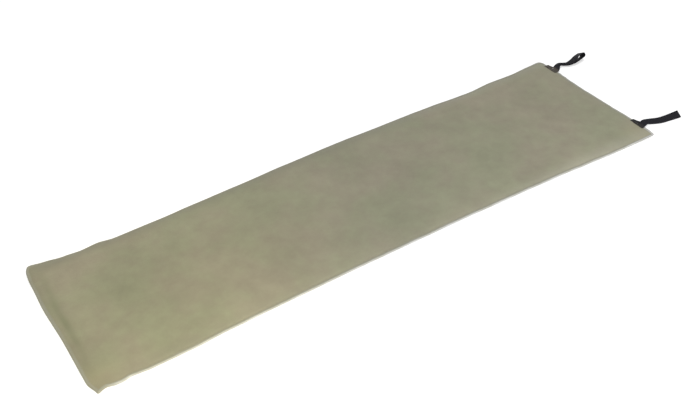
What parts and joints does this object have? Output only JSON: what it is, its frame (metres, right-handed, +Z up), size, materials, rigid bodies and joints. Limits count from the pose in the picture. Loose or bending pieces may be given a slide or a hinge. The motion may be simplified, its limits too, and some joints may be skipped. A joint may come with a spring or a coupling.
{
  "type": "roll-up foam mat",
  "caption": "Thin foam camping mat in a soft fabric cover that rolls up from the foot end, with elastic loops on the other end that hold the roll.",
  "frame": {"origin": "on the ground, under the middle of the pad's length and width", "axes": "+X along the mat from the foot end to the end with the loops, +Y to the left of someone looking that way, +Z up"},
  "size_m": [1.9761, 0.51, 0.0247],
  "materials": {
    "cover_fabric": "soft brushed woven polyester, olive khaki, matte",
    "foam": "open-cell polyurethane foam, pale yellow",
    "elastic_webbing": "flat woven elastic, near black"
  },
  "bodies": {
    "length_28": {"cover_28": "cover_fabric", "foam_core_28": "foam", "loop_tab_left": "elastic_webbing", "loop_tab_right": "elastic_webbing"},
    "length_27": {"cover_27": "cover_fabric", "foam_core_27": "foam"},
    "length_26": {"cover_26": "cover_fabric", "foam_core_26": "foam"},
    "length_25": {"cover_25": "cover_fabric", "foam_core_25": "foam"},
    "length_24": {"cover_24": "cover_fabric", "foam_core_24": "foam"},
    "length_23": {"cover_23": "cover_fabric", "foam_core_23": "foam"},
    "length_22": {"cover_22": "cover_fabric", "foam_core_22": "foam"},
    "length_21": {"cover_21": "cover_fabric", "foam_core_21": "foam"},
    "length_20": {"cover_20": "cover_fabric", "foam_core_20": "foam"},
    "length_19": {"cover_19": "cover_fabric", "foam_core_19": "foam"},
    "length_18": {"cover_18": "cover_fabric", "foam_core_18": "foam"},
    "length_17": {"cover_17": "cover_fabric", "foam_core_17": "foam"},
    "length_16": {"cover_16": "cover_fabric", "foam_core_16": "foam"},
    "length_15": {"cover_15": "cover_fabric", "foam_core_15": "foam"},
    "length_14": {"cover_14": "cover_fabric", "foam_core_14": "foam"},
    "length_13": {"cover_13": "cover_fabric", "foam_core_13": "foam"},
    "length_12": {"cover_12": "cover_fabric", "foam_core_12": "foam"},
    "length_11": {"cover_11": "cover_fabric", "foam_core_11": "foam"},
    "length_10": {"cover_10": "cover_fabric", "foam_core_10": "foam"},
    "length_09": {"cover_09": "cover_fabric", "foam_core_09": "foam"},
    "length_08": {"cover_08": "cover_fabric", "foam_core_08": "foam"},
    "length_07": {"cover_07": "cover_fabric", "foam_core_07": "foam"},
    "length_06": {"cover_06": "cover_fabric", "foam_core_06": "foam"},
    "length_05": {"cover_05": "cover_fabric", "foam_core_05": "foam"},
    "length_04": {"cover_04": "cover_fabric", "foam_core_04": "foam"},
    "length_03": {"cover_03": "cover_fabric", "foam_core_03": "foam"},
    "length_02": {"cover_02": "cover_fabric", "foam_core_02": "foam"},
    "length_01": {"cover_01": "cover_fabric", "foam_core_01": "foam"},
    "loop_left": {"elastic_loop_left": "elastic_webbing"},
    "loop_right": {"elastic_loop_right": "elastic_webbing"}
  },
  "joints": [
    {"name": "roll_27", "type": "hinge", "parent": "length_28", "child": "length_27", "pos_m": [0.74742, 0, 0.012], "axis": [0, 1, 0], "range_deg": [0, 51.43]},
    {"name": "roll_26", "type": "hinge", "parent": "length_27", "child": "length_26", "pos_m": [0.6617, 0, 0.012], "axis": [0, 1, 0], "range_deg": [0, 51.43]},
    {"name": "roll_25", "type": "hinge", "parent": "length_26", "child": "length_25", "pos_m": [0.57784, 0, 0.012], "axis": [0, 1, 0], "range_deg": [0, 51.43]},
    {"name": "roll_24", "type": "hinge", "parent": "length_25", "child": "length_24", "pos_m": [0.49584, 0, 0.012], "axis": [0, 1, 0], "range_deg": [0, 51.43]},
    {"name": "roll_23", "type": "hinge", "parent": "length_24", "child": "length_23", "pos_m": [0.41569, 0, 0.012], "axis": [0, 1, 0], "range_deg": [0, 51.43]},
    {"name": "roll_22", "type": "hinge", "parent": "length_23", "child": "length_22", "pos_m": [0.3374, 0, 0.012], "axis": [0, 1, 0], "range_deg": [0, 51.43]},
    {"name": "roll_21", "type": "hinge", "parent": "length_22", "child": "length_21", "pos_m": [0.26097, 0, 0.012], "axis": [0, 1, 0], "range_deg": [0, 51.43]},
    {"name": "roll_20", "type": "hinge", "parent": "length_21", "child": "length_20", "pos_m": [0.1864, 0, 0.012], "axis": [0, 1, 0], "range_deg": [0, 51.43]},
    {"name": "roll_19", "type": "hinge", "parent": "length_20", "child": "length_19", "pos_m": [0.11368, 0, 0.012], "axis": [0, 1, 0], "range_deg": [0, 51.43]},
    {"name": "roll_18", "type": "hinge", "parent": "length_19", "child": "length_18", "pos_m": [0.04282, 0, 0.012], "axis": [0, 1, 0], "range_deg": [0, 51.43]},
    {"name": "roll_17", "type": "hinge", "parent": "length_18", "child": "length_17", "pos_m": [-0.02618, 0, 0.012], "axis": [0, 1, 0], "range_deg": [0, 51.43]},
    {"name": "roll_16", "type": "hinge", "parent": "length_17", "child": "length_16", "pos_m": [-0.09332, 0, 0.012], "axis": [0, 1, 0], "range_deg": [0, 51.43]},
    {"name": "roll_15", "type": "hinge", "parent": "length_16", "child": "length_15", "pos_m": [-0.15861, 0, 0.012], "axis": [0, 1, 0], "range_deg": [0, 51.43]},
    {"name": "roll_14", "type": "hinge", "parent": "length_15", "child": "length_14", "pos_m": [-0.22204, 0, 0.012], "axis": [0, 1, 0], "range_deg": [0, 51.43]},
    {"name": "roll_13", "type": "hinge", "parent": "length_14", "child": "length_13", "pos_m": [-0.28361, 0, 0.012], "axis": [0, 1, 0], "range_deg": [0, 51.43]},
    {"name": "roll_12", "type": "hinge", "parent": "length_13", "child": "length_12", "pos_m": [-0.34332, 0, 0.012], "axis": [0, 1, 0], "range_deg": [0, 51.43]},
    {"name": "roll_11", "type": "hinge", "parent": "length_12", "child": "length_11", "pos_m": [-0.40118, 0, 0.012], "axis": [0, 1, 0], "range_deg": [0, 51.43]},
    {"name": "roll_10", "type": "hinge", "parent": "length_11", "child": "length_10", "pos_m": [-0.45718, 0, 0.012], "axis": [0, 1, 0], "range_deg": [0, 51.43]},
    {"name": "roll_09", "type": "hinge", "parent": "length_10", "child": "length_09", "pos_m": [-0.51132, 0, 0.012], "axis": [0, 1, 0], "range_deg": [0, 51.43]},
    {"name": "roll_08", "type": "hinge", "parent": "length_09", "child": "length_08", "pos_m": [-0.5636, 0, 0.012], "axis": [0, 1, 0], "range_deg": [0, 51.43]},
    {"name": "roll_07", "type": "hinge", "parent": "length_08", "child": "length_07", "pos_m": [-0.61403, 0, 0.012], "axis": [0, 1, 0], "range_deg": [0, 51.43]},
    {"name": "roll_06", "type": "hinge", "parent": "length_07", "child": "length_06", "pos_m": [-0.6626, 0, 0.012], "axis": [0, 1, 0], "range_deg": [0, 51.43]},
    {"name": "roll_05", "type": "hinge", "parent": "length_06", "child": "length_05", "pos_m": [-0.70931, 0, 0.012], "axis": [0, 1, 0], "range_deg": [0, 51.43]},
    {"name": "roll_04", "type": "hinge", "parent": "length_05", "child": "length_04", "pos_m": [-0.75416, 0, 0.012], "axis": [0, 1, 0], "range_deg": [0, 51.43]},
    {"name": "roll_03", "type": "hinge", "parent": "length_04", "child": "length_03", "pos_m": [-0.79716, 0, 0.012], "axis": [0, 1, 0], "range_deg": [0, 51.43]},
    {"name": "roll_02", "type": "hinge", "parent": "length_03", "child": "length_02", "pos_m": [-0.8383, 0, 0.012], "axis": [0, 1, 0], "range_deg": [0, 51.43]},
    {"name": "roll_01", "type": "hinge", "parent": "length_02", "child": "length_01", "pos_m": [-0.87758, 0, 0.012], "axis": [0, 1, 0], "range_deg": [0, 51.43]},
    {"name": "loop_swing_left", "type": "hinge", "parent": "length_28", "child": "loop_left", "pos_m": [0.91815, 0.204, 0.0061], "axis": [0, -1, 0], "range_deg": [0, 90]},
    {"name": "loop_swing_right", "type": "hinge", "parent": "length_28", "child": "loop_right", "pos_m": [0.91815, -0.195, 0.0061], "axis": [0, -1, 0], "range_deg": [0, 90]}
  ],
  "couplings": [
    {"joint": "roll_26", "follows": "roll_27", "ratio": 1},
    {"joint": "roll_25", "follows": "roll_27", "ratio": 1},
    {"joint": "roll_24", "follows": "roll_27", "ratio": 1},
    {"joint": "roll_23", "follows": "roll_27", "ratio": 1},
    {"joint": "roll_22", "follows": "roll_27", "ratio": 1},
    {"joint": "roll_21", "follows": "roll_27", "ratio": 1},
    {"joint": "roll_20", "follows": "roll_27", "ratio": 1},
    {"joint": "roll_19", "follows": "roll_27", "ratio": 1},
    {"joint": "roll_18", "follows": "roll_27", "ratio": 1},
    {"joint": "roll_17", "follows": "roll_27", "ratio": 1},
    {"joint": "roll_16", "follows": "roll_27", "ratio": 1},
    {"joint": "roll_15", "follows": "roll_27", "ratio": 1},
    {"joint": "roll_14", "follows": "roll_27", "ratio": 1},
    {"joint": "roll_13", "follows": "roll_27", "ratio": 1},
    {"joint": "roll_12", "follows": "roll_27", "ratio": 1},
    {"joint": "roll_11", "follows": "roll_27", "ratio": 1},
    {"joint": "roll_10", "follows": "roll_27", "ratio": 1},
    {"joint": "roll_09", "follows": "roll_27", "ratio": 1},
    {"joint": "roll_08", "follows": "roll_27", "ratio": 1},
    {"joint": "roll_07", "follows": "roll_27", "ratio": 1},
    {"joint": "roll_06", "follows": "roll_27", "ratio": 1},
    {"joint": "roll_05", "follows": "roll_27", "ratio": 1},
    {"joint": "roll_04", "follows": "roll_27", "ratio": 1},
    {"joint": "roll_03", "follows": "roll_27", "ratio": 1},
    {"joint": "roll_02", "follows": "roll_27", "ratio": 1},
    {"joint": "roll_01", "follows": "roll_27", "ratio": 1}
  ]
}
